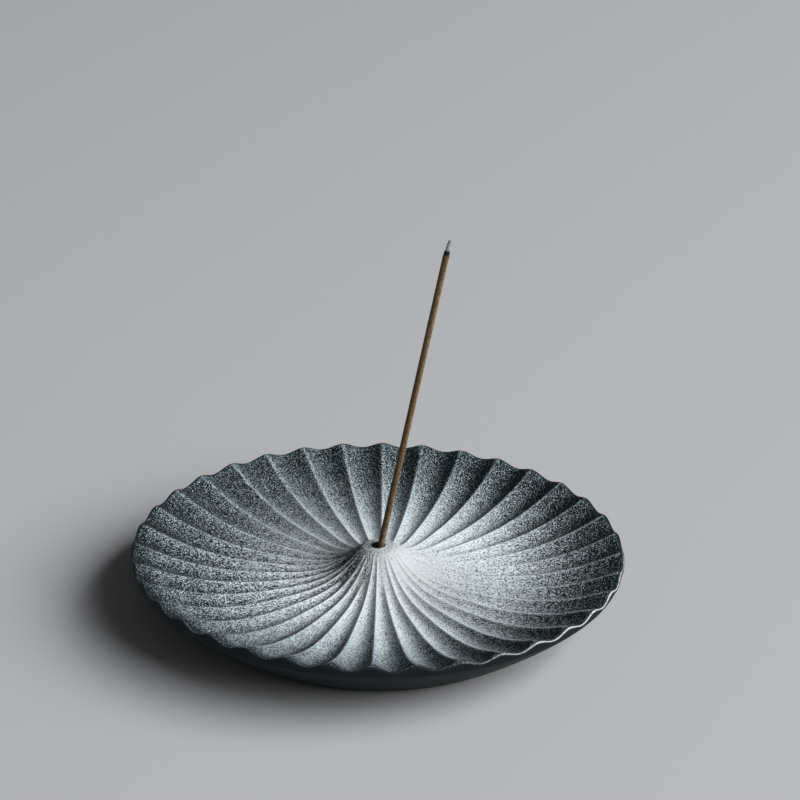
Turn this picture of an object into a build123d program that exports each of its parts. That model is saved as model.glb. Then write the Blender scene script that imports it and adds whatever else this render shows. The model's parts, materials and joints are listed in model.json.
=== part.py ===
from build123d import *
import math
import os

# All lengths are in millimetres and all angles in degrees.
# The foot ring stands on Z = 0, the bore runs down the Z axis, and the stick leans towards +X.

# Bowl of the dish: the crests of the flutes fall from the rim to the floor, then climb the cone.
rim_radius = 60.0
rim_height = 18.2
dish_depth = 7.3
floor_radius = 27.0
bowl_power = 2.05
cone_power = 2.9

# Flutes: hollows between narrow crests, deepest at the rim and fading towards the hub.
# Half the section of a flute runs through these points, from a crest to the middle of the hollow.
flute_count = 36
flute_depth = 1.8
fade_power = 0.85
flute_turn_shares = (0, 0.2, 0.5)
flute_drop_shares = (0, 0.65, 1)
line_points = 10
line_crowding = 1.3

# Every few crests, one sinks into the hollows beside it before it reaches the hub.
short_crest_every = 3
short_crest_first = 1
short_crest_start = 15.0
short_crest_end = 9.0

# Outer wall, from the foot up to a nearly upright band under the rim, with a bevelled lip on top.
# The bevel is wider on the crests, so the top edge of the rim is lobed when it is seen from above.
band_height = 2.7
band_draft = 0.5
band_blend = 0.9
crest_bevel = 0.9
hollow_bevel = 0.45

# Foot ring, and the recess that it goes round.
foot_radius = 38.5
foot_width = 4.0
foot_height = 0.8
foot_inset = 1.6
floor_thickness = 4.0

# Hub: the smooth collar on top of the cone, with a blind bore for the stick.
hub_radius = 5.2
hub_rise = 0.75
hub_bevel = 0.7
hub_lap = 0.3
flute_top_drop = 0.9
bore_diameter = 3.3
bore_depth = 8.15
bore_bevel = 0.2

# Incense stick, burnt a little way down. It leans as far as its play in the bore lets it.
stick_diameter = 1.6
stick_length = 85.2
stick_clearance = 0.1
char_length = 1.95
char_tip_diameter = 1.2
ash_length = 2.85
ash_foot_diameter = 0.95
ash_tip_diameter = 0.6
ash_curl = 0.35

# How far a cutting or splitting shape runs past what it cuts.
overrun = 0.5

# Sizes that follow from those above.
flute_pitch = 360 / flute_count
floor_height = rim_height - dish_depth
hub_height = rim_height + hub_rise
blank_height = hub_height + overrun
cone_rise = hub_height - flute_top_drop - floor_height
dish_inner_radius = hub_radius - hub_lap
crest_radius = rim_radius - crest_bevel
bore_floor = hub_height - bore_depth
stick_play = bore_diameter - 2 * stick_clearance - stick_diameter
stick_lean = math.degrees(math.atan2(stick_play, bore_depth - bore_bevel))


def crest_height(radius):
    """Height of a crest: two power curves that meet level at the floor of the dish."""
    if radius > floor_radius:
        reach_share = (radius - floor_radius) / (crest_radius - floor_radius)
        return floor_height + dish_depth * reach_share**bowl_power
    reach_share = (floor_radius - radius) / (floor_radius - hub_radius)
    return floor_height + cone_rise * reach_share**cone_power


def depth_at(radius):
    """Depth of a flute below its crests, which grows with the radius."""
    return flute_depth * (radius / rim_radius)**fade_power


def drop_at(radius, turn, drop_share):
    """Share of the depth at a radius: as given, but rising to all of it where a short crest sinks."""
    if round(turn) % short_crest_every != short_crest_first:
        return drop_share
    sink_share = (short_crest_start - radius) / (short_crest_start - short_crest_end)
    return drop_share + (1 - drop_share) * min(max(sink_share, 0), 1)


def flute_line(turn, drop_share):
    """Two edges, from the hub to the lip and down its bevel, at a turn counted in flutes from a crest."""
    bevel = crest_bevel + (hollow_bevel - crest_bevel) * drop_share
    start = dish_inner_radius - hub_lap
    reach = rim_radius - bevel - start
    radii = [start + reach * (point / (line_points - 1))**line_crowding for point in range(line_points)]
    drops = [depth_at(radius) * drop_at(radius, turn, drop_share) for radius in radii]
    heights = [crest_height(radius) - drop for radius, drop in zip(radii, drops)]
    bowl = Spline(*[(radius, 0, height) for radius, height in zip(radii, heights)])
    fall = bevel + overrun
    lip = Line(bowl @ 1, bowl @ 1 + Vector(fall, 0, -fall))
    return [Rot(0, 0, turn * flute_pitch) * edge for edge in (bowl, lip)]


def fluted_skin():
    """Top surface of the dish: strips between neighbouring lines, four to a flute, all the way round."""
    half = list(zip(flute_turn_shares, flute_drop_shares))
    section = half + [(1 - turn, drop) for turn, drop in half[-2:0:-1]]
    lines = [flute_line(flute + turn, drop) for flute in range(flute_count) for turn, drop in section]
    strips = []
    for line, neighbour in zip(lines, lines[1:] + lines[:1]):
        strips += [Face.make_surface_from_curves(*edges) for edges in zip(line, neighbour)]
    return Shell(strips)


# The floor keeps its thickness under the bottom of the flutes.
recess_roof = floor_height - depth_at(floor_radius) - floor_thickness


def corner_of(section, radius, height):
    """Corner of a section in the XZ plane that lies nearest to a radius and a height."""
    return section.vertices().sort_by_distance((radius, 0, height))[0]


def dish_section():
    """Half section of the dish outside the hub, left tall so that the flutes can be cut from it."""
    recess_radius = foot_radius - foot_width
    shoulder = (rim_radius - band_draft, rim_height - band_height)
    outline = Polyline(
        (dish_inner_radius, blank_height),
        (dish_inner_radius, recess_roof),
        (recess_radius, recess_roof),
        (recess_radius, 0),
        (foot_radius, 0),
        (foot_radius, foot_height),
        (foot_radius + foot_inset, foot_height),
        shoulder,
        (rim_radius, rim_height),
        (rim_radius, blank_height),
        close=True,
    )
    section = Plane.XZ * make_face(outline)
    return fillet(corner_of(section, *shoulder), band_blend)


def upright(radius, length, height):
    """Upright cylinder on the Z axis, standing at a height."""
    return Pos(0, 0, height) * Cylinder(radius, length, align=(Align.CENTER, Align.CENTER, Align.MIN))


def hub():
    """Middle of the dish: a post with a bevelled top, and a blind bore with a bevelled mouth."""
    post = upright(hub_radius, hub_height - recess_roof, recess_roof)
    post = chamfer(post.edges().group_by(Axis.Z)[-1], hub_bevel)
    post = post - upright(bore_diameter / 2, bore_depth + overrun, bore_floor)
    mouth = post.edges().filter_by(GeomType.CIRCLE).sort_by_distance((bore_diameter / 2, 0, hub_height))[0]
    return chamfer(mouth, bore_bevel)


def fluted_dish():
    """The whole dish in one piece: the turned blank, cut off at the fluted skin, round the hub."""
    blank = revolve(dish_section(), Axis.Z)
    below_skin = split(blank, bisect_by=fluted_skin(), keep=Keep.ALL).solids().sort_by(Axis.Z)[0]
    return below_skin + hub()


def leaning(height):
    """Place on the stick's axis, at a height along it from the stick's lower end."""
    lean = math.radians(stick_lean)
    across = stick_clearance + stick_diameter / 2 * math.cos(lean) - bore_diameter / 2
    above = bore_floor + stick_clearance + stick_diameter / 2 * math.sin(lean)
    return Pos(across, 0, above) * Rot(0, stick_lean, 0) * Pos(0, 0, height)


def incense_stick():
    """The unburnt stick, from the floor of the bore up to the char."""
    return leaning(0) * upright(stick_diameter / 2, stick_length, 0)


def charred_end():
    """The black end of the stick, drawn in towards the ash."""
    ends = (Align.CENTER, Align.CENTER, Align.MIN)
    return leaning(stick_length) * Cone(stick_diameter / 2, char_tip_diameter / 2, char_length, align=ends)


def ash_tip():
    """The ash that still stands on the char: a thin column that tapers and curls to one side."""
    foot = Circle(ash_foot_diameter / 2)
    middle = Pos(ash_curl / 4, 0, ash_length / 2) * Circle((ash_foot_diameter + ash_tip_diameter) / 4)
    tip = Pos(ash_curl, 0, ash_length) * Circle(ash_tip_diameter / 2)
    return leaning(stick_length + char_length) * loft([foot, middle, tip], ruled=True)


nodes = {
    "fluted_dish": fluted_dish(),
    "incense_stick": incense_stick(),
    "charred_end": charred_end(),
    "ash_tip": ash_tip(),
}

os.makedirs("parts", exist_ok=True)
for name, shape in nodes.items():
    export_step(shape, f"parts/{name}.step")
    print(name, "solids", len(shape.solids()), "volume", round(shape.volume, 2), "mm3")
print("stick leans", round(stick_lean, 2), "degrees")
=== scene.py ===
# %% [markdown]
# # An incense stick holder: a fluted iron dish and a stick of incense
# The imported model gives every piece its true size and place, in metres, with +Z up.
# It is loaded first and never moved. Its box is kept, because what is shown has to stay inside it.

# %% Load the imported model
import json
import math

import bpy
import numpy as np
from mathutils import Euler, Matrix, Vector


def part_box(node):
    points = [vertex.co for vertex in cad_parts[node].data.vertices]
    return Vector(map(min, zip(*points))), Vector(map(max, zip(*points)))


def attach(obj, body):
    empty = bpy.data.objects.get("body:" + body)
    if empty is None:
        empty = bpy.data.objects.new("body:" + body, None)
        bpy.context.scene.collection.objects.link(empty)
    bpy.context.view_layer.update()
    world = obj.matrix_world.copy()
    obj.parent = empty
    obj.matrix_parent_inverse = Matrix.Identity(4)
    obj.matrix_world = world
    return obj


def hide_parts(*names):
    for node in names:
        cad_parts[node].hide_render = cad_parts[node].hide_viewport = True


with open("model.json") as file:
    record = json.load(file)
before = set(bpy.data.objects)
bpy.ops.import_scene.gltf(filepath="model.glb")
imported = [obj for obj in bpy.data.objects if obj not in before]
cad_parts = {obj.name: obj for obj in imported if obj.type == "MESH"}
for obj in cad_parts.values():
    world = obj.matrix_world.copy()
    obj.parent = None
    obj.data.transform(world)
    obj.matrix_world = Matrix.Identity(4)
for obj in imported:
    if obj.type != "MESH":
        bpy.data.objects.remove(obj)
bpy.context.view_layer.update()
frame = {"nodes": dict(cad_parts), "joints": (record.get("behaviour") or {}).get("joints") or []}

mm = 0.001
print("pieces in the frame:", sorted(frame["nodes"]))

# %% [markdown]
# ## Surfaces from two parameters
# The dish and the stick are closed skins: a profile goes from one pole to the other, and is carried round.
# Such a skin could be a screw modifier on a drawn line, but the flutes change the line at every angle.
# So each skin is a whole grid of points, worked out by numpy, and its faces follow from the grid's order.

# %% A closed skin over a grid of points
def add_skin(name, grid, first_pole, last_pole):
    """Joins neighbours of a grid into quads: rows run from pole to pole, columns run round and meet again."""
    rows, columns = grid.shape[:2]
    here = 1 + np.arange(rows * columns).reshape(rows, columns)
    beside = np.roll(here, -1, axis=1)
    first = np.zeros(columns, int)
    last = np.full(columns, 1 + rows * columns)
    quads = np.stack([here[:-1], here[1:], beside[1:], beside[:-1]], axis=-1).reshape(-1, 4)
    caps = np.concatenate([
        np.stack([first, here[0], beside[0]], axis=-1),
        np.stack([here[-1], last, beside[-1]], axis=-1),
    ])
    points = np.vstack([first_pole, grid.reshape(-1, 3), last_pole])
    mesh = bpy.data.meshes.new(name)
    mesh.from_pydata(points, [], quads.tolist() + caps.tolist(), shade_flat=False)
    piece = bpy.data.objects.new(name, mesh)
    bpy.context.collection.objects.link(piece)
    print(name, "has", len(mesh.vertices), "points and", 2 * len(quads) + len(caps), "triangles")
    return piece


# %% Values at the points of a skin, and lines with rounded corners
def mark(piece, name, grid_values):
    """Gives each point of a skin its value in the grid, as an attribute that a material can read."""
    values = np.concatenate([grid_values[0, :1], grid_values.ravel(), grid_values[-1, :1]])
    piece.data.attributes.new(name, "FLOAT", "POINT").data.foreach_set("value", values.astype(np.float32))
    print(piece.name, "keeps", name, "from", round(values.min(), 2), "to", round(values.max(), 2))


def rounded_profile(corners, cuts, steps=6):
    """A line through corners, where each inner corner becomes a parabola that starts and ends a cut away."""
    corners = np.asarray(corners, float)
    stretches = [corners[:1]]
    bend = np.linspace(0, 1, steps)[:, None]
    for before, corner, after, cut in zip(corners, corners[1:], corners[2:], cuts):
        towards_before = (before - corner) / np.linalg.norm(before - corner)
        towards_after = (after - corner) / np.linalg.norm(after - corner)
        start = corner + cut * towards_before
        end = corner + cut * towards_after
        curve = (1 - bend)**2 * start + 2 * bend * (1 - bend) * corner + bend**2 * end
        stretches += [[start + cut / 4 * towards_before], curve, [end + cut / 4 * towards_after]]
    return np.vstack(stretches + [corners[-1:]])


# %% [markdown]
# ## The bowl of the dish
# The dish is cast iron. Its crests fall from the rim to a level floor and then climb a cone in the middle.
# That line could be a spline through measured points. Two power curves that meet level at the floor circle
# need only two numbers to tune, and have no bumps.

# %% Line of the crests
rim_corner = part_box("fluted_dish")[1]
rim_radius = rim_corner.x
hub_height = rim_corner.z
crest_rim_height = 18.35 * mm
crest_lip_round = 0.85 * mm
bowl_depth = 7.45 * mm
bowl_power = 2.3
floor_radius = 27 * mm
floor_height = crest_rim_height - bowl_depth
hub_radius = 5.2 * mm
cone_top_drop = 0.85 * mm
cone_rise = hub_height - cone_top_drop - floor_height
cone_power = 3.4


def crest_height(radius):
    """Two power curves of the distance from the floor circle, out to the rim and in to the hub."""
    outward = np.clip((radius - floor_radius) / (rim_radius - crest_lip_round - floor_radius), 0, None)
    inward = np.clip((floor_radius - radius) / (floor_radius - hub_radius), 0, None)
    return floor_height + bowl_depth * outward**bowl_power + cone_rise * inward**cone_power


print("crests stand", round(float(crest_height(floor_radius)) / mm, 2), "mm high at the floor circle")

# %% [markdown]
# Thirty-six hollows lie between the crests, deep at the rim and shallow at the hub.
# A cosine would round crest and hollow alike. A parabola leaves the crests sharp and the hollows broad, and a
# hyperbola then rounds the crests over a small width, which is larger at the rim, where they are softer.
# Every third crest sinks into the hollows beside it before it reaches the hub, which leaves room there.

# %% Crests and hollows
flute_count = 36
flute_depth = 1.95 * mm
flute_start = 4.4 * mm
flute_fade = 0.55
crest_width = 0.08
rim_crest_width = 0.24
rim_crest_power = 5
short_crest_every = 3
short_crest_first = 1
short_crest_start = 15 * mm
short_crest_end = 8 * mm


def ramp(value, start, end):
    """0 up to the start, 1 from the end on, and a straight line between them."""
    return np.clip((value - start) / (end - start), 0, 1)


def eased(share):
    """A share that leaves 0 and reaches 1 level: three times its square, less twice its cube."""
    return share**2 * (3 - 2 * share)


def hollow_share(radius, turn):
    """0 on a crest, 1 in mid-hollow: a parabola whose crest a hyperbola rounds, more so at the rim."""
    reach = 2 * np.abs(turn - np.round(turn))
    width = crest_width + rim_crest_width * (radius / rim_radius)**rim_crest_power
    rounded = (np.hypot(reach, width) - width) / (np.hypot(1, width) - width)
    return 1 - (1 - rounded)**2


def sunk_share(radius, turn):
    """How far a short crest has sunk into the hollows beside it: a smooth step as the radius shrinks."""
    short = np.round(turn) % short_crest_every == short_crest_first
    return short * eased(ramp(radius, short_crest_start, short_crest_end))


def drop_share(radius, turn):
    """Share of the flutes' depth at a point: that of the hollow, and all of it where a crest has sunk."""
    hollow = hollow_share(radius, turn)
    return hollow + (1 - hollow) * sunk_share(radius, turn)


print("halfway down a flank the hollow's share is", round(float(hollow_share(floor_radius, 1 / 4)), 2))

# %% [markdown]
# The hub is a smooth low dome on top of the cone, and the flutes run out into it without an edge.
# A hard minimum of dome and bowl would leave a crease. A parabola over a set height takes the crease away.

# %% Height of the bowl and the hub
hub_dome = 0.6 * mm
hub_softness = 1.7 * mm


def top_height(radius, turn):
    """The lower of the hub's low dome and the fluted bowl, blended by a parabola where they cross."""
    reach = np.clip((radius - flute_start) / (rim_radius - flute_start), 0, None)
    bowl = crest_height(radius) - flute_depth * reach**flute_fade * drop_share(radius, turn)
    hub = hub_height - hub_dome * ramp(radius, 0, hub_radius)**2
    share = ramp(bowl - hub, -hub_softness, hub_softness)
    return bowl + (hub - bowl) * share - hub_softness * share * (1 - share)


floor_fall = top_height(floor_radius, 0) - top_height(floor_radius, 1 / 2)
print("hollows at the floor circle are", round(float(floor_fall) / mm, 2), "mm deep")

# %% [markdown]
# ## The whole skin of the dish
# A closed line is carried round: out of the bore, over the bowl, round the lip, down the wall and underneath.
# The lip is an arc that starts along the bowl's own slope, so it stays round on crests and in hollows.
# Below it the wave of the rim dies out over a short band, and the wall runs in to a foot ring.
# Lip, wall and foot could be pieces of their own, but one closed skin has no gaps between them.
# The columns crowd together at the crests, because the bowl bends most there.

# %% Columns round the dish
columns_per_flute = 14
crest_crowding = 0.55

step = np.arange(flute_count * columns_per_flute) / columns_per_flute
turn = step - crest_crowding * np.sin(2 * np.pi * step) / (2 * np.pi)
angle = turn * 2 * np.pi / flute_count


def all_round(profile):
    """A profile of radii and heights that is the same at every angle."""
    radii, heights = np.asarray(profile, float).T
    return [np.repeat(values[:, None], len(turn), axis=1) for values in (radii, heights)]


print("columns round the dish:", len(turn))

# %% Rows of the bore
bore_radius = 1.65 * mm
bore_depth = 8.15 * mm
bore_floor = hub_height - bore_depth
bore_round = 0.25 * mm
mouth_rows = 6


def bore_rows():
    """The floor and wall of the bore, then a quarter circle out to the top of the hub."""
    mouth = hub_height - bore_round
    quarter = np.linspace(0, np.pi / 2, mouth_rows)
    wall = rounded_profile(
        [(bore_radius / 2, bore_floor), (bore_radius, bore_floor), (bore_radius, mouth)],
        [bore_round],
    )
    arc_radii = bore_radius + bore_round * (1 - np.cos(quarter))
    arc_heights = mouth + bore_round * np.sin(quarter)
    return all_round(np.vstack([wall[:-1], np.stack([arc_radii, arc_heights], axis=-1)]))


bore = bore_rows()
print("rows in the bore:", len(bore[0]))

# %% Rows of the bowl and its lip
bowl_rows = 104
bowl_row_power = 1.2
bowl_start_share = 1.6
bowl_start = bore_radius + bowl_start_share * bore_round
slope_step = 0.01 * mm
lip_rows = 12
lip_round = 0.45 * mm
lip_slope_reach = 1.3
lip_overturn = 0.04


def bowl_and_lip_rows():
    """The bowl out to where the lip starts, then an arc that turns from the bowl's slope to straight out."""
    lip = crest_lip_round + (lip_round - crest_lip_round) * hollow_share(rim_radius, turn)
    edge_reach = rim_radius - lip_slope_reach * lip
    climb = top_height(edge_reach + slope_step, turn) - top_height(edge_reach - slope_step, turn)
    slope = np.arctan(climb / (2 * slope_step))
    bowl_end = rim_radius - lip * (1 + np.sin(slope))
    share = np.linspace(0, 1, bowl_rows)[:, None]**bowl_row_power
    radii = bowl_start + (bowl_end - bowl_start) * share
    heights = top_height(radii, turn)
    fall = (np.pi / 2 + slope) * np.linspace(1, -lip_overturn, lip_rows)[1:, None]
    centre_height = heights[-1] - lip * np.cos(slope)
    lip_radii = rim_radius - lip + lip * np.cos(fall)
    return [np.vstack([radii, lip_radii]), np.vstack([heights, centre_height + lip * np.sin(fall)])]


bowl = bowl_and_lip_rows()
rim_wave = np.ptp(bowl[1][bowl_rows:].max(axis=0))
print("rows in the bowl and on the lip:", len(bowl[0]))
print("the top of the rim waves by", round(float(rim_wave) / mm, 2), "mm")

# %% Rows of the band, the wall and the underside
band_rows_in_all = 8
band_draft = 0.45 * mm
band_foot_radius = rim_radius - band_draft
band_foot_height = 15.4 * mm
band_pull = 1.0 * mm
wall_rows_in_all = 26
wall_pull = 8 * mm
wall_foot_angle = math.radians(29)
foot_radius = 38.5 * mm
foot_width = 4 * mm
foot_height = 0.8 * mm
foot_round = 0.3 * mm
foot_step = 1.6 * mm
wall_foot_radius = foot_radius + foot_step
recess_radius = foot_radius - foot_width
recess_roof = 5.95 * mm
recess_round = 2 * mm


def band_rows(lip_radii, lip_heights):
    """Straight lines from the wavy lower edge of the lip to the level circle at the foot of the band."""
    share = np.linspace(0, 1, band_rows_in_all)[1:-1, None]
    radii = lip_radii + (band_foot_radius - lip_radii) * share
    return [radii, lip_heights + (band_foot_height - lip_heights) * share]


def wall_rows():
    """A cubic curve from the band to the foot, leaving each end along a pull of its own."""
    top = np.array([band_foot_radius, band_foot_height])
    foot = np.array([wall_foot_radius, foot_height])
    top_pull = top - [0, band_pull]
    foot_pull = foot + wall_pull * np.array([math.cos(wall_foot_angle), math.sin(wall_foot_angle)])
    share = np.linspace(0, 1, wall_rows_in_all)[:, None]
    weights = (1 - share)**3, 3 * share * (1 - share)**2, 3 * share**2 * (1 - share), share**3
    return all_round(sum(w * p for w, p in zip(weights, (top, top_pull, foot_pull, foot))))


def underside_rows():
    """The step back to the foot ring, the ring, and the recess inside it."""
    corners = [
        (wall_foot_radius, foot_height), (foot_radius, foot_height), (foot_radius, 0),
        (recess_radius, 0), (recess_radius, recess_roof), (recess_radius / 4, recess_roof),
    ]
    return all_round(rounded_profile(corners, [foot_round, foot_round, foot_round, recess_round])[1:])


band = band_rows(bowl[0][-1], bowl[1][-1])
wall = wall_rows()
underside = underside_rows()
print("rows below the lip:", len(band[0]) + len(wall[0]) + len(underside[0]))

# %% [markdown]
# The cone of this casting isn't quite true: behind the bore it stands a little further to the right.
# Moving the whole cone would shift its front too, where it is true. So each point is pushed by its own
# share: none at the front, at the hub and at the rim, and most at the back of the cone.

# %% Dish skin
cone_lean_reach = 0.8 * mm
cone_lean_onset = 4 * mm
cone_lean_fade = 0.7

skin_radii, skin_heights = (np.vstack(rows) for rows in zip(bore, bowl, band, wall, underside))
bowl_at, lip_at, band_at = np.cumsum([len(bore[0]), bowl_rows, len(bowl[0]) - bowl_rows])
bowl_radii = skin_radii[bowl_at:lip_at]


def cone_lean():
    """Push towards +X: grows from the front to the back, starts smoothly at the hub and fades to the rim."""
    onset = eased(ramp(bowl_radii, bowl_start, bowl_start + cone_lean_onset))
    fade = (1 - bowl_radii / bowl_radii[-1:])**cone_lean_fade
    return cone_lean_reach * (1 + np.sin(angle)) / 2 * onset * fade


dish_grid = np.stack([skin_radii * np.cos(angle), skin_radii * np.sin(angle), skin_heights], axis=-1)
dish_grid[bowl_at:lip_at, :, 0] += cone_lean()
dish = add_skin("dish_skin", dish_grid, (0, 0, bore_floor), (0, 0, recess_roof))

# %% [markdown]
# ## Where the spray lands, and painted light and shade
# The top of the dish is sprayed with pale paint, as a mist of drops.
# Its cover also carries painted light and shade for the lamp on the right: it is raised on the right of the
# cone and on the flanks that face the lamp, and lowered on the flanks that face away, on the bowl's right
# wall, in a painted shadow of the cone and on the rim at the front left.
# All this could be painted on the mesh by hand. Here it is worked out from the slope and place of each point
# and kept in attributes, so that it belongs to the flutes in every view.

# %% Slopes of the bowl, and sides of the dish
turn_step = 0.01


def towards(direction):
    """Cosine of each column's angle to a direction, and 0 on the side away from it."""
    return np.clip(np.cos(angle - direction), 0, 1)


def side_slope(radii):
    """Slope of the bowl along a circle, positive where it climbs with the angle."""
    climb = top_height(radii, turn + turn_step) - top_height(radii, turn - turn_step)
    return climb / (2 * turn_step * 2 * np.pi / flute_count * radii)


def outward_slope(radii):
    """Slope of the crests away from the middle: negative on the cone, positive from the floor circle on."""
    return (top_height(radii + slope_step, 0) - top_height(radii - slope_step, 0)) / (2 * slope_step)


steepest = math.atan(np.abs(side_slope(bowl_radii)).max())
print("the steepest flank of a flute leans", round(math.degrees(steepest)), "degrees")

# %% [markdown]
# The paint stops on the round of the lip, lower at the front than at the back, and just inside the bore.
# On the front right the lip carries a painted highlight: a thin pale line where it faces the lamp. A high
# power of a sine keeps that line thin.

# %% Paint on the lip and in the mouth of the bore, and a painted highlight on the lip
lip_highlight_at = math.radians(-34)
lip_highlight_cosines = (0.725, 0.975)
lip_highlight_power = 7
bore_paint_rows = 5
lip_paint = 0.4
lip_paint_to_front = 0.8
lip_paint_fall = 3

lip_share = np.linspace(0, 1, band_at - lip_at)[:, None]
# Painted highlight: a thin pale line on the lip at the front right, where it faces the lamp.
edge = np.zeros(skin_radii.shape)
edge[lip_at:band_at] = np.sin(np.pi * lip_share)**lip_highlight_power
edge[lip_at:band_at] *= ramp(np.cos(angle - lip_highlight_at), *lip_highlight_cosines)

sprayed = np.zeros(skin_radii.shape)
sprayed[:bowl_at] = ramp(np.arange(bowl_at), bowl_at - bore_paint_rows, bowl_at)[:, None]
sprayed[bowl_at:lip_at] = 1
lip_cover = lip_paint - lip_paint_to_front * np.sin(angle) - lip_paint_fall * lip_share
sprayed[lip_at:band_at] = np.clip(lip_cover, 0, 1)
sprayed = np.maximum(sprayed, edge)
mark(dish, "edge", edge)
mark(dish, "sprayed", sprayed)

# %% [markdown]
# Crests catch a thin pale line of paint. Near the rim at the front right it is raised as a painted highlight,
# and in the cone's painted shadow it is lowered as painted shade. It ends where a short crest has sunk.

# %% Pale lines along the crests
crest_line_reach = 0.075
crest_line_start = 15 * mm
rim_crest_highlight_gain = 0.5
rim_crest_highlight_shares = (0.6, 0.9)
shaded_line_loss = 0.3
painted_cone_shadow_towards = math.radians(203)

line = ramp(np.abs(turn - np.round(turn)), crest_line_reach, 0) * ramp(bowl_radii, 0, crest_line_start)
line = line * (1 - sunk_share(bowl_radii, turn))
near_rim = ramp(bowl_radii / rim_radius, *rim_crest_highlight_shares)
# Painted highlight: the crest line is raised near the rim on the side that faces the lamp.
line = line * (1 + rim_crest_highlight_gain * near_rim * towards(lip_highlight_at))
crest = np.zeros(skin_radii.shape)
# Painted shade: the crest line is lowered in the cone's painted shadow.
crest[bowl_at:lip_at] = line * (1 - shaded_line_loss * towards(painted_cone_shadow_towards))
mark(dish, "crest", crest)

# %% [markdown]
# The rest follows the slope, and is painted light and shade for the lamp on the right. A flank gains paint on
# the side that faces the lamp and loses it on the side that faces away, and an offset makes one way round
# count for more.
# On the left the hollows are darker than the crests, and most of all on the cone, where the flutes are close.

# %% Painted light and shade by slope: flanks, cone and right wall
flank_light_from = math.radians(-32)
flank_light_offset = 0.35
flank_light_low = -0.7
lit_flank_gain = 0.65
shaded_flank_slack = 0.06
flank_full_radius = 40 * mm
flank_power = 1.3
cone_light_from = math.radians(-22)
cone_light_gain = 0.8
shaded_wall_at = math.radians(23)
shaded_wall_slope = 0.42
shaded_wall_loss = 1.2


def painted_light_by_slope():
    """Paint gained as painted light on flanks and slopes that face the lamp, in proportion to their slope,
    and lost as painted shade on the others.
    """
    # Painted light and shade: flanks that face the lamp gain paint, flanks that face away lose it.
    flank = side_slope(bowl_radii) * np.clip(np.sin(angle - flank_light_from) - flank_light_offset, flank_light_low, 1)
    slope = outward_slope(bowl_radii)
    painted_flank_light = np.where(flank > 0, lit_flank_gain * flank, np.minimum(flank + shaded_flank_slack, 0))
    painted_flank_light = painted_flank_light * ramp(bowl_radii, 0, flank_full_radius)**flank_power
    painted_cone_light = -cone_light_gain * np.minimum(slope, 0) * np.cos(angle - cone_light_from)
    # Painted shade on the bowl's right wall, which faces away from the lamp.
    painted_wall_shade = shaded_wall_loss * np.clip(slope, 0, shaded_wall_slope) * towards(shaded_wall_at)
    return painted_flank_light + painted_cone_light - painted_wall_shade


painted_slope_light = painted_light_by_slope()
print("slopes change the paint by", round(painted_slope_light.min(), 2), "to", round(painted_slope_light.max(), 2))

# %% Painted shade by place: the cone's shadow, the rim, and darker hollows
painted_cone_shadow_reach = 70 * mm
painted_cone_shadow_loss = 0.4
painted_rim_shade_towards = math.radians(235)
painted_rim_shade_shares = (0.9, 0.98)
painted_rim_shade_loss = 0.6
dark_hollow_towards = math.radians(165)
dark_hollow_full_radius = 20 * mm
dark_hollow_loss = 0.22
dark_hollow_level = 0.35
cone_line_towards = math.radians(190)
cone_line_rise = (5 * mm, 8 * mm)
cone_line_fall = (30 * mm, 16 * mm)
cone_line_loss = 0.95
cone_line_level = 0.57


def shade_and_dark_hollows_by_place():
    """Painted shadow of the cone and painted shade on one stretch of rim, and darker hollows on the left,
    where crests gain.
    """
    # Painted shadow of the cone, which falls to the left of it, away from the lamp.
    painted_cone_shadow = ramp(bowl_radii, painted_cone_shadow_reach, 0) * towards(painted_cone_shadow_towards)**2
    painted_rim_shade = ramp(bowl_radii / rim_radius, *painted_rim_shade_shares) * towards(painted_rim_shade_towards)
    # Darker hollows on the left: the cover is lowered in the hollows there and raised on the crests.
    dark_hollow = ramp(bowl_radii, 0, dark_hollow_full_radius) * towards(dark_hollow_towards)
    dark_hollow = dark_hollow * (hollow_share(bowl_radii, turn) - dark_hollow_level)
    cone_line = ramp(bowl_radii, *cone_line_rise) * ramp(bowl_radii, *cone_line_fall)
    cone_line = cone_line * np.sqrt(towards(cone_line_towards))
    cone_line = cone_line * (drop_share(bowl_radii, turn) - cone_line_level)
    # Painted shadow of the cone and painted shade on the rim at the front left lower the cover.
    in_shade = painted_cone_shadow_loss * painted_cone_shadow + painted_rim_shade_loss * painted_rim_shade
    return in_shade + dark_hollow_loss * dark_hollow + cone_line_loss * cone_line


facing = np.zeros(skin_radii.shape)
# Painted light and shade by slope and by place, and the darker hollows, kept as one change of the paint's
# cover.
facing[bowl_at:lip_at] = painted_slope_light - shade_and_dark_hollows_by_place()
mark(dish, "facing", facing)

# %% [markdown]
# The drops are finer at the front and the back and coarser on the left and the right, less so near the rim.
# On the left and the right the coarser drops are partly painted shade, standing for the grain's small shadows
# where the lamp rakes across.
# The hub is coarse all round. Two noises of different size, mixed by this attribute, give both.

# %% Fine and coarse drops
coarse_cosine_squares = (1 / 6, 5 / 6)
coarse_start = (10 * mm, 22 * mm)
coarse_end = (38 * mm, 52 * mm)
coarse_most = 0.8
coarse_end_loss = 0.6
coarse_hub = (6.6 * mm, 5.2 * mm)

coarse = coarse_most * ramp(np.cos(angle)**2, *coarse_cosine_squares) * ramp(skin_radii, *coarse_start)
coarse = coarse * (1 - coarse_end_loss * ramp(skin_radii, *coarse_end))
coarse = np.maximum(coarse, ramp(skin_radii, *coarse_hub))
mark(dish, "coarse", coarse)

# %% [markdown]
# ## The incense stick, its char and its ash
# The stick is paste pressed through a round die and dried, so it is nearly round, with faint ridges along it.
# Its upper end has burnt: a black end of char, still brown at its foot, and on it a thin column of ash that
# flicks to one side at its top.
# A cylinder would look machined. All three are tubes of rings round one slanted line, with a seeded wobble.
# The frame gives that line: it is the way that the stick lifts out.

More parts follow.
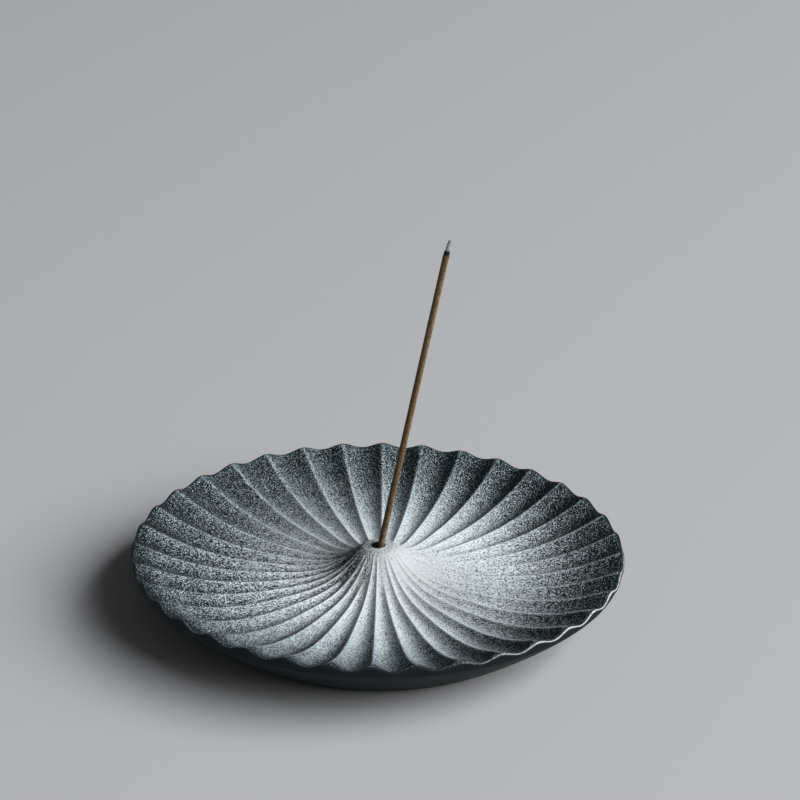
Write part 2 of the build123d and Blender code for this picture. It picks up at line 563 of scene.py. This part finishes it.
# %% Line of the stick
lift = frame["joints"][0]
along = np.array(lift["axis"], float)
across = np.array([along[2], 0, -along[0]])
sideways = np.array([0.0, 1.0, 0.0])
stick_low, stick_high = (np.array(corner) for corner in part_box("incense_stick"))
stick_radius = (stick_high[1] - stick_low[1]) / 2
end_shift = stick_radius * np.array([along[2], 0, along[0]])
stick_foot = stick_low * (1, 0, 1) + end_shift
stick_tip = stick_high * (1, 0, 1) - end_shift
stick_length = float(np.linalg.norm(stick_tip - stick_foot))
print("stick", round(stick_length / mm, 1), "mm long and", round(2 * stick_radius / mm, 2), "mm thick")

# %% Tubes along that line
tube_columns = 48
round_angle = np.arange(tube_columns) * 2 * np.pi / tube_columns
wave_count = 8
wave_range = (0.4, 1.6)
most_lobes = 6


def wobble(heights, seed, size, amount):
    """Uneven swelling: 1 and an amount of the mean of a few sines, with seeded waves along and round."""
    draw = np.random.default_rng(seed)
    total = np.zeros((len(heights), tube_columns))
    for _ in range(wave_count):
        wave = draw.uniform(*wave_range) / size
        lobes = draw.integers(0, most_lobes)
        phase = draw.uniform(0, 2 * np.pi)
        total = total + np.sin(2 * np.pi * wave * heights[:, None] + lobes * round_angle + phase)
    return 1 + amount * total / wave_count


def tube_on_stick(name, heights, radii, lean, swelling):
    """Rings of given radii at heights along the stick, each shifted across by its lean, from the top down."""
    reach = (radii[:, None] * swelling)[..., None]
    centre = stick_foot + heights[:, None] * along + lean[:, None] * across
    spokes = np.cos(round_angle)[:, None] * across + np.sin(round_angle)[:, None] * sideways
    return add_skin(name, centre[:, None] + reach * spokes, centre[0], centre[-1])


print("columns round a tube:", tube_columns)

# %% Stick
stick_round = 0.2 * mm
stick_end_ring = 0.2 * stick_radius
stick_rows = 300
stick_rows_inset = 0.6 * mm
stick_slimness = 0.985
painted_lit_side_at = math.radians(20)

stick_ends = rounded_profile(
    [(stick_end_ring, stick_length), (stick_radius, stick_length), (stick_radius, 0), (stick_end_ring, 0)],
    [stick_round, stick_round],
)
top_end, foot_end = np.split(stick_ends, 2)
stick_sides = np.linspace(stick_length - stick_rows_inset, stick_rows_inset, stick_rows)
stick_heights = np.concatenate([top_end[:, 1], stick_sides, foot_end[:, 1]])
stick_radii = np.concatenate([top_end[:, 0], np.full(stick_rows, stick_radius), foot_end[:, 0]])
stick = tube_on_stick(
    "stick_skin", stick_heights, stick_slimness * stick_radii, np.zeros(len(stick_heights)),
    wobble(stick_heights, seed=3, size=5 * mm, amount=0.03),
)
# Painted light and shade: the stick is paler on the side towards the lamp and darker on the other.
pale_side = (1 + np.cos(round_angle - painted_lit_side_at)) / 2
mark(stick, "pale_side", np.tile(pale_side, (len(stick_heights), 1)))

# %% Char
char_length = 1.95 * mm
char_foot_radius = 0.8 * mm
char_tip_radius = 0.68 * mm
char_end_ring = 0.2 * mm
char_tip_round = 0.25 * mm
char_foot_round = 0.05 * mm
char_round_steps = 10
scorched_length = 1.1 * mm

char_profile = rounded_profile(
    [(char_end_ring, char_length), (char_tip_radius, char_length), (char_foot_radius, 0), (char_end_ring, 0)],
    [char_tip_round, char_foot_round], char_round_steps,
)
char_radii, char_rise = char_profile.T
char_heights = stick_length + char_rise
char = tube_on_stick(
    "char_skin", char_heights, char_radii, np.zeros(len(char_heights)),
    wobble(char_heights, seed=5, size=0.8 * mm, amount=0.06),
)
paste_left = ramp(char_rise, scorched_length, 0)
mark(char, "paste_left", np.repeat(paste_left[:, None], tube_columns, axis=1))

# %% Ash
ash_length = 2.82 * mm
ash_rows = 60
ash_tip_radius = 0.39 * mm
ash_foot_radius = 0.46 * mm
ash_tip_power = 16
ash_end_ring = 0.05 * mm
ash_flick = 0.3 * mm
ash_flick_power = 4

# The radius is a straight taper that a high power closes at the tip, and the flick grows by a power too.
ash_share = np.linspace(1, 0, ash_rows)
ash_taper = ash_tip_radius + (ash_foot_radius - ash_tip_radius) * (1 - ash_share)
ash_radii = np.maximum(ash_taper * np.sqrt(1 - ash_share**ash_tip_power), ash_end_ring)
ash_heights = stick_length + char_length + ash_length * ash_share
ash = tube_on_stick(
    "ash_skin", ash_heights, ash_radii, ash_flick * ash_share**ash_flick_power,
    wobble(ash_heights, seed=7, size=0.9 * mm, amount=0.16),
)

# %% [markdown]
# ## Shader maths as Python
# A finish is a small sum of noises and masks. Written as nodes it takes a page, and as a formula one line.
# The class below wraps one socket. Adding or multiplying two of them adds the Math node that does it.

# %% One wrapped socket, and one maker of nodes
class Socket:
    """An output of a shader node. Sums, differences and products of sockets add Math nodes beside it."""

    def __init__(self, tree, output):
        self.tree = tree
        self.output = output

    @staticmethod
    def node(tree, kind, settings=None, sockets=None, output=0):
        """Adds a node: its settings first, a ramp's stops among them, then its sockets' values or links."""
        node = tree.nodes.new("ShaderNode" + kind)
        for name, value in (settings or {}).items():
            if name == "stops":
                set_stops(node.color_ramp.elements, value)
            else:
                setattr(node, name, value)
        for name, value in (sockets or {}).items():
            if isinstance(value, Socket):
                tree.links.new(value.output, node.inputs[name])
            else:
                node.inputs[name].default_value = value
        return Socket(tree, node.outputs[output])

    def __add__(self, other):
        return maths(self.tree, "ADD", self, other)

    def __sub__(self, other):
        return maths(self.tree, "SUBTRACT", self, other)

    def __rsub__(self, other):
        return maths(self.tree, "SUBTRACT", other, self)

    def __mul__(self, other):
        return maths(self.tree, "MULTIPLY", self, other)

    __radd__ = __add__
    __rmul__ = __mul__


def set_stops(elements, stops):
    """Gives a ramp as many stops as are listed, each with its place and colour."""
    while len(elements) < len(stops):
        elements.new(1)
    for element, (place, colour) in zip(elements, stops):
        element.position = place
        element.color = colour


def maths(tree, operation, first_value, second_value=0, clamp=False):
    """One Math node on two numbers or sockets."""
    settings = {"operation": operation, "use_clamp": clamp}
    return Socket.node(tree, "Math", settings, {0: first_value, 1: second_value})


# %% Short names for the nodes that the finishes share
def clamped(value):
    """The value held between 0 and 1."""
    return maths(value.tree, "ADD", value, clamp=True)


def mixed(factor, first_colour, second_colour):
    """A colour between two colours, by a factor."""
    sockets = {0: factor, 6: first_colour, 7: second_colour}
    return Socket.node(factor.tree, "Mix", {"data_type": "RGBA"}, sockets, output=2)


def noise(place, size, detail=2.0, roughness=0.5):
    """Noise with features about one size across, from 0 to 1."""
    sockets = {"Vector": place, "Scale": 1 / size, "Detail": detail, "Roughness": roughness}
    return Socket.node(place.tree, "TexNoise", None, sockets)


def object_place(tree):
    """Where a point lies in the object's own coordinates."""
    return Socket.node(tree, "TexCoord", output=3)


def kept(tree, name):
    """A value that the mesh keeps at its points."""
    return Socket.node(tree, "Attribute", {"attribute_name": name}, output=2)


def bumped(height, strength, distance):
    """A normal that leans with a height."""
    sockets = {"Strength": strength, "Distance": distance, "Height": height}
    return Socket.node(height.tree, "Bump", None, sockets)


def grey(value):
    """An opaque colour with equal parts."""
    return (value, value, value, 1)


# %% A new finish, and what feeds it
def new_finish(name, **constants):
    """A material with one Principled shader, its constant sockets set by name, and its tree and shader."""
    material = bpy.data.materials.new(name)
    material.use_nodes = True
    shader = material.node_tree.nodes["Principled BSDF"]
    for socket, value in constants.items():
        shader.inputs[socket.replace("_", " ").title().replace("Ior", "IOR")].default_value = value
    return material, material.node_tree, shader


def feed(shader, **links):
    """Links varying values into the shader's sockets, by name."""
    for socket, value in links.items():
        shader.id_data.links.new(value.output, shader.inputs[socket.replace("_", " ").title()])


# %% [markdown]
# ## Iron with a sprayed, sandy top
# The iron is a near-black slate. Pale paint lies on it as fine drops, densest a little right of the middle.
# The drops cover the cone and thin out towards the rim, so the change of tone is a change in their number.
# Comparing a fine noise with the wanted cover gives that. A plain gradient would look airbrushed and flat.
# The paint itself is bluer towards the rim, and the painted highlight on the lip is a plain pale grey. The
# wanted cover also carries painted light and shade.

# %% Dish finish
iron_colour = (0.010, 0.0155, 0.017, 1)
spray_colours = (
    (0.1, (0.52, 0.562, 0.582, 1)), (0.34, (0.655, 0.735, 0.775, 1)), (0.8, (0.505, 0.615, 0.67, 1)),
)
lip_highlight_colour = (0.70, 0.72, 0.73, 1)
spray_shift = (-6 * mm, 0, 0)
spray_reach = 70 * mm
spray_cover = (
    (0, 0.60), (0.22, 0.59), (0.37, 0.552), (0.46, 0.516),
    (0.6, 0.443), (0.74, 0.375), (0.83, 0.353), (1, 0.32),
)
paint_and_painted_light_share = 0.22
crest_share = 0.14
lip_highlight_least_share = 0.14
lip_highlight_mottle_share = 0.42
mottle_size = 6 * mm
mottle_detail = 3
mottle_share = 0.05
fine_drop_size = 0.2 * mm
coarse_drop_size = 0.26 * mm
drop_sharpness = 15


def wanted_cover(tree, reach, mottle, edge):
    """Share of paint: falls with the reach, and changes by painted light and shade from slope and place,
    along crests, with the painted lip highlight and in patches.
    """
    stops = [(at, grey(level)) for at, level in spray_cover]
    cover = Socket.node(tree, "ValToRGB", {"stops": stops}, {0: reach})
    # Painted light and shade and the painted lip highlight raise or lower the cover here.
    cover = cover + paint_and_painted_light_share * kept(tree, "facing") + crest_share * kept(tree, "crest")
    return cover + edge * (lip_highlight_least_share + lip_highlight_mottle_share * mottle) + mottle_share * (mottle - 0.5)


def drop_grain(tree, place):
    """Two noises about a half, fine and coarse, weighted by cosine and sine so that the contrast stays."""
    quarter = kept(tree, "coarse") * (math.pi / 2)
    fine = maths(tree, "COSINE", quarter) * (noise(place, fine_drop_size, detail=0) - 0.5)
    coarse = maths(tree, "SINE", quarter) * (noise(place, coarse_drop_size, detail=0) - 0.5)
    return 0.5 + fine + coarse


# %% The dish finish put together
iron_roughness = 0.55
paint_roughness = 0.3
grain_roughness = 0.1
cast_size = 0.25 * mm
cast_share = 0.06
drop_bump = 0.4
drop_height = 0.08 * mm


def sprayed_iron():
    """Paint where the wanted cover is above the grain, iron elsewhere; bump and gloss follow the grain."""
    material, tree, shader = new_finish("sprayed_iron", specular_ior_level=0.06)
    place = object_place(tree)
    from_middle = {0: place, 1: (1, 1, 0), 2: spray_shift}
    flat = Socket.node(tree, "VectorMath", {"operation": "MULTIPLY_ADD"}, from_middle)
    reach = Socket.node(tree, "VectorMath", {"operation": "LENGTH"}, {0: flat}, output=1) * (1 / spray_reach)
    spray = Socket.node(tree, "ValToRGB", {"stops": spray_colours}, {0: reach})
    top = kept(tree, "sprayed")
    edge = kept(tree, "edge")
    mottle = noise(place, mottle_size, mottle_detail)
    grain = drop_grain(tree, place)
    cover = wanted_cover(tree, reach, mottle, edge)
    drops = clamped((cover - grain) * drop_sharpness + 0.5) * top
    relief = (1 - grain) * top + cast_share * noise(place, cast_size)
    # The painted lip highlight turns the paint a plain pale grey.
    feed(
        shader,
        base_color=mixed(drops, iron_colour, mixed(edge, spray, lip_highlight_colour)),
        roughness=iron_roughness + paint_roughness * top + grain_roughness * (grain - 0.5),
        normal=bumped(relief, drop_bump, drop_height),
    )
    return material


dish.data.materials.append(sprayed_iron())
print("dish finish has", len(dish.data.materials[0].node_tree.nodes), "nodes")

# %% [markdown]
# ## Paste, char and ash
# The paste is brown wood powder: darker and lighter specks, drawn out a little along the stick. One side is
# painted paler and the other darker, as painted light and shade from the lamp on the right. Two noises, one
# of them stretched, give the specks, and an attribute gives the painted lit side.
# The char is dull black with a greyish bloom and a scorched brown foot. The ash is grey, darker in cracks.
# Tone and crumbs could have a noise each. One noise for both keeps the cracks where the tone is dark.

# %% Stick finish
paste_dark = (0.022, 0.011, 0.004, 1)
paste_pale = (0.33, 0.215, 0.105, 1)
streak_size = 0.5 * mm
streak_stretch = (1, 1, 0.3)
streak_detail = 3
speck_size = 0.42 * mm
speck_detail = 2
speck_share = 1.7
paste_noise_roughness = 0.6
paste_level = 0.85
shaded_side_share = 0.2
lit_side_share = 1.15
paste_roughness = 0.42
speck_roughness = 0.2
paste_bump = 0.7
paste_bump_height = 0.06 * mm


def wood_paste():
    """Brown with specks from two noises, one of them stretched along the stick, stronger on the painted lit
    side.
    """
    material, tree, shader = new_finish("wood_paste", specular_ior_level=0.3)
    place = object_place(tree)
    drawn_out = Socket.node(tree, "Mapping", None, {"Vector": place, "Scale": streak_stretch})
    streaks = noise(drawn_out, streak_size, streak_detail, paste_noise_roughness)
    specks = noise(place, speck_size, speck_detail, paste_noise_roughness)
    # Painted light and shade: the specks' tone is raised on the lit side and lowered on the other.
    side = shaded_side_share + lit_side_share * kept(tree, "pale_side")
    tone = clamped((streaks + speck_share * specks - paste_level) * side)
    feed(
        shader,
        base_color=mixed(tone, paste_dark, paste_pale),
        roughness=paste_roughness + speck_roughness * specks,
        normal=bumped(streaks + specks, paste_bump, paste_bump_height),
    )
    return material


stick.data.materials.append(wood_paste())
print("stick finish has", len(stick.data.materials[0].node_tree.nodes), "nodes")

# %% Char and ash finishes
char_dark = (0.004, 0.004, 0.004, 1)
char_pale = (0.03, 0.03, 0.027, 1)
scorched_colour = (0.11, 0.075, 0.035, 1)
ash_dark = (0.07, 0.065, 0.065, 1)
ash_pale = (0.46, 0.44, 0.44, 1)
crumb_detail = 3
crumb_noise_roughness = 0.65
tone_sharpness = 3
scorch_sharpness = 4
scorch_level = 0.75
burnt_roughness = 0.85
crumb_roughness = 0.1
crumb_bump = 0.8
crumb_height = 0.1 * mm


def burnt(name, dark, pale, size, cut, below=None):
    """Two tones by a cut through a noise, with bump from it, and a colour below where paste is left."""
    material, tree, shader = new_finish(name, specular_ior_level=0.2)
    crumbs = noise(object_place(tree), size, crumb_detail, crumb_noise_roughness)
    colour = mixed(clamped((crumbs - cut) * tone_sharpness + 0.5), dark, pale)
    if below:
        left = clamped((kept(tree, "paste_left") + crumbs - scorch_level) * scorch_sharpness)
        colour = mixed(left, colour, below)
    feed(
        shader,
        base_color=colour,
        roughness=burnt_roughness + crumb_roughness * crumbs,
        normal=bumped(crumbs, crumb_bump, crumb_height),
    )
    print(name, "has", len(tree.nodes), "nodes")
    return material


char.data.materials.append(
    burnt("char_black", char_dark, char_pale, size=0.4 * mm, cut=0.6, below=scorched_colour)
)
ash.data.materials.append(burnt("ash_grey", ash_dark, ash_pale, size=0.45 * mm, cut=0.5))

# %% [markdown]
# ## What each skin stands for
# Every skin rides on the body of the solid that it replaces, so it moves with it when a joint moves.
# The stick lifts out of the dish, and its char and its ash go with it.

# %% Bodies and solids
for piece, node, body, slot in (
    (dish, "fluted_dish", "dish", "dish_casting"),
    (stick, "incense_stick", "stick", "incense_paste"),
    (char, "charred_end", "stick", "char"),
    (ash, "ash_tip", "stick", "ash"),
):
    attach(piece, body)
    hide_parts(node)
    print(piece.name, "stands for", node, "on", body)

# %% [markdown]
# ## Floor
# The dish stands on a plain pale grey floor, which shows its shadow and isn't part of the object.
# One large square is enough, because this camera looks down and doesn't see where the floor ends.

# %% Floor
floor_half = 8
floor_colour = (0.50, 0.51, 0.525, 1)

floor_corners = [(x * floor_half, y * floor_half, 0) for x, y in ((-1, -1), (1, -1), (1, 1), (-1, 1))]
floor_mesh = bpy.data.meshes.new("floor")
floor_mesh.from_pydata(floor_corners, [], [(0, 1, 2, 3)])
floor = bpy.data.objects.new("floor", floor_mesh)
bpy.context.collection.objects.link(floor)
floor_mesh.materials.append(new_finish("pale_floor", base_color=floor_colour, roughness=0.9)[0])
print("the floor is", 2 * floor_half, "m wide")

# %% [markdown]
# ## Light
# One broad soft lamp stands on the right and slightly in front, like a window. It rakes across the flutes, so
# that each crest has a bright side and a dark side. A sun lamp would rake too, but with a hard shadow.
# A weak lamp in front and an even fill keep the shaded wall from going black. The world gives that fill,
# while the camera sees a pale backdrop in its place.

# %% Lamps
def direction(azimuth, elevation):
    """Unit vector from the middle of the object, azimuth counted from +X towards +Y."""
    flat = math.cos(elevation)
    return np.array([flat * math.cos(azimuth), flat * math.sin(azimuth), math.sin(elevation)])


def add_lamp(name, azimuth, elevation, distance, width, height, energy):
    """A flat lamp that faces the object: its width lies level, and its height leans with its elevation."""
    data = bpy.data.lights.new(name, "AREA")
    data.shape = "RECTANGLE"
    data.size = width
    data.size_y = height
    data.energy = energy
    lamp = bpy.data.objects.new(name, data)
    lamp.location = distance * direction(azimuth, elevation)
    lamp.rotation_euler = (math.pi / 2 - elevation, 0, azimuth + math.pi / 2)
    bpy.context.collection.objects.link(lamp)
    print(name, "gives", energy, "W")


lamp_elevation = math.radians(38)
lamp_distance = 3
add_lamp("window_lamp", math.radians(-22), lamp_elevation, lamp_distance, width=3.4, height=2.0, energy=154)
add_lamp("front_lamp", math.radians(-85), lamp_elevation, lamp_distance, width=3, height=2, energy=5)

# %% World
fill_level = 0.012
backdrop_colour = (0.42, 0.43, 0.44, 1)

world = bpy.data.worlds.new("studio")
world.use_nodes = True
bpy.context.scene.world = world
sky = world.node_tree
path = sky.nodes.new("ShaderNodeLightPath")
seen = Socket(sky, path.outputs["Is Camera Ray"])
for ray in ("Is Glossy Ray", "Is Transmission Ray"):
    seen = maths(sky, "MAXIMUM", seen, Socket(sky, path.outputs[ray]))
backdrop = mixed(seen, grey(fill_level), backdrop_colour)
sky.links.new(backdrop.output, sky.nodes["Background"].inputs["Color"])
print("the world fills the shade at a level of", fill_level)

# %% [markdown]
# ## Camera
# The camera looks down from the front, through a long lens from about a metre away. A short lens close by
# would swell the near side of the rim.
# Its distance, height and tilt were chosen so that the rim and the stick fall where the photograph has them.

# %% Camera
rim_centre = np.array([0, 0, crest_rim_height])
camera_distance = 0.972
camera_elevation = math.radians(27.2)
camera_turn = math.radians(0.9)
aim_up = math.radians(2.108)
aim_right = math.radians(0.32)
camera_roll = math.radians(0.85)

camera_data = bpy.data.cameras.new("camera")
camera_data.sensor_width = 36
camera_data.lens = 180
camera_data.clip_end = 50
camera = bpy.data.objects.new("camera", camera_data)
camera.location = rim_centre + camera_distance * direction(camera_turn - math.pi / 2, camera_elevation)
aim = Euler((math.pi / 2 - camera_elevation + aim_up, 0, camera_turn - aim_right)).to_matrix()
camera.rotation_euler = (aim @ Matrix.Rotation(camera_roll, 3, "Z")).to_euler()
bpy.context.collection.objects.link(camera)
bpy.context.scene.camera = camera
bpy.context.scene.view_settings.view_transform = "Standard"
print("the camera stands", round(camera.location.z, 3), "m above the floor")
